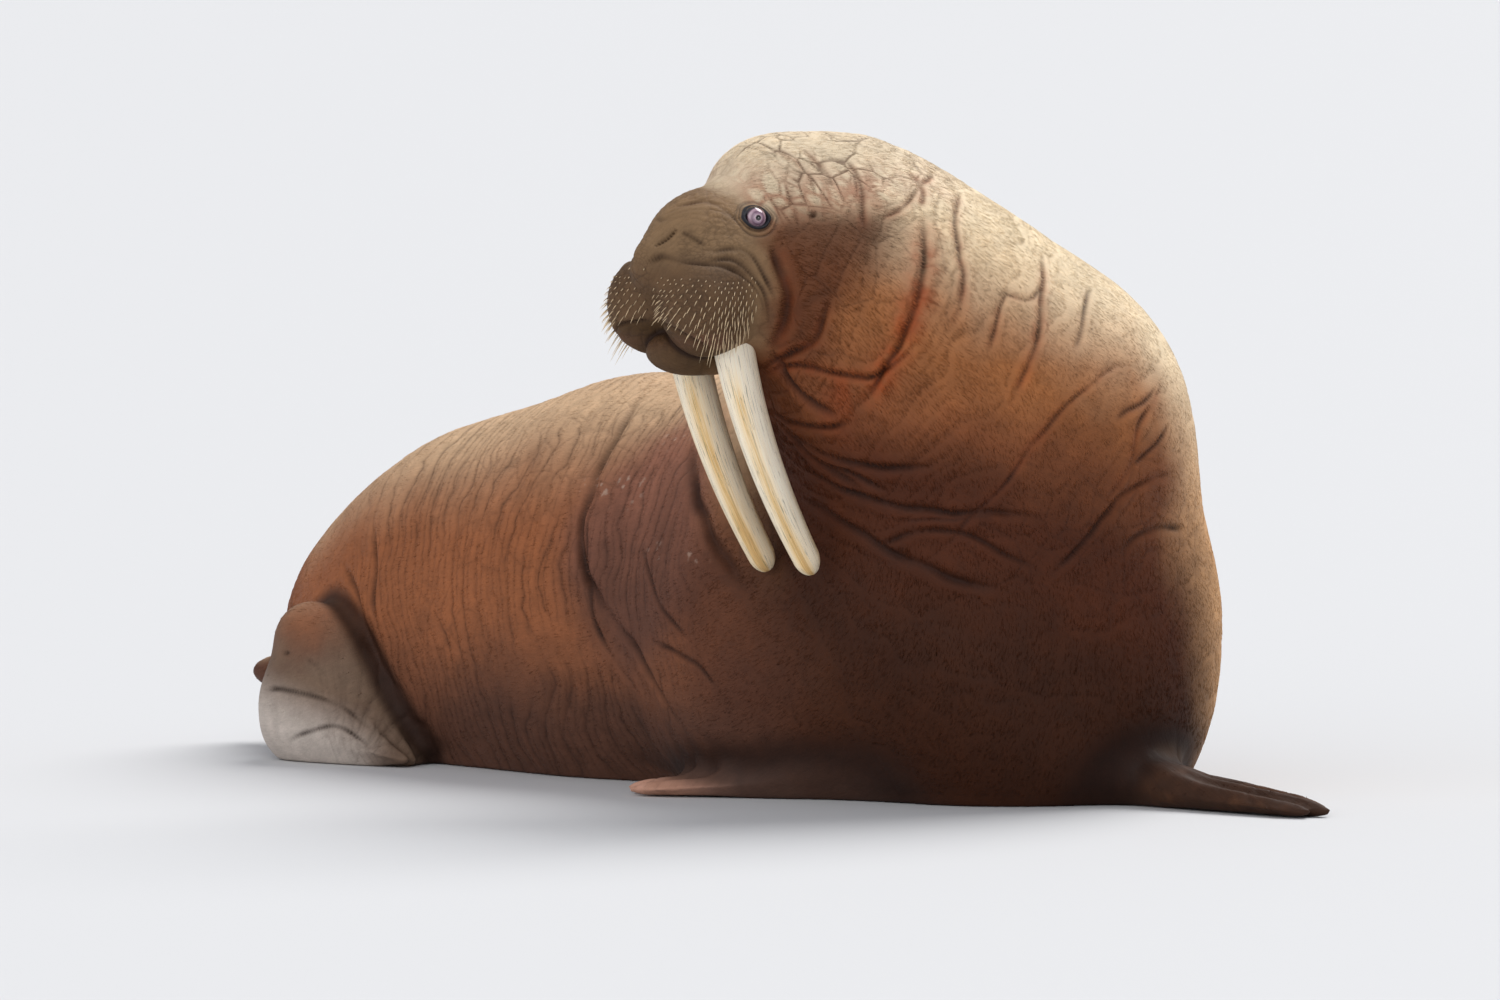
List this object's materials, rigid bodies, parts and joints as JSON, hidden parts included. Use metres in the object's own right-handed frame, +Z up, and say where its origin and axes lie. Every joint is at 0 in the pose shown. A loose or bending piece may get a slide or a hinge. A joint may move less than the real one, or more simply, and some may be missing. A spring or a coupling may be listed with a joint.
{
  "type": "walrus",
  "caption": "Life-size adult walrus lying on its belly, chest raised, head turned back over its right side, with tusks and whiskers.",
  "frame": {"origin": "centre of the bounding box's footprint, on the floor that the animal lies on", "axes": "+Z up; +X to the viewer's right in the picture, the side of the raised chest and the left fore flipper, with the head looking towards -X; +Y away from the camera, towards the hindquarters"},
  "size_m": [1.9888, 1.8727, 1.2058],
  "materials": {
    "hide": "matt wrinkled brown hide with short fur",
    "face": "matt grey-brown hide",
    "flipper": "bare grey-brown skin, slightly damp",
    "eye": "wet gloss",
    "ivory": "satin ivory with fine grooves"
  },
  "bodies": {
    "root": {"hindquarters": "hide", "torso": "hide", "chest": "hide", "neck": "hide", "tail": "hide", "head": "face", "muzzle": "face", "lower_jaw": "face", "eye_left": "eye", "eye_right": "eye", "tusk_left": "ivory", "tusk_right": "ivory", "flipper_fore_left": "flipper", "flipper_fore_right": "flipper", "flipper_hind_left": "flipper", "flipper_hind_right": "flipper"}
  },
  "joints": []
}
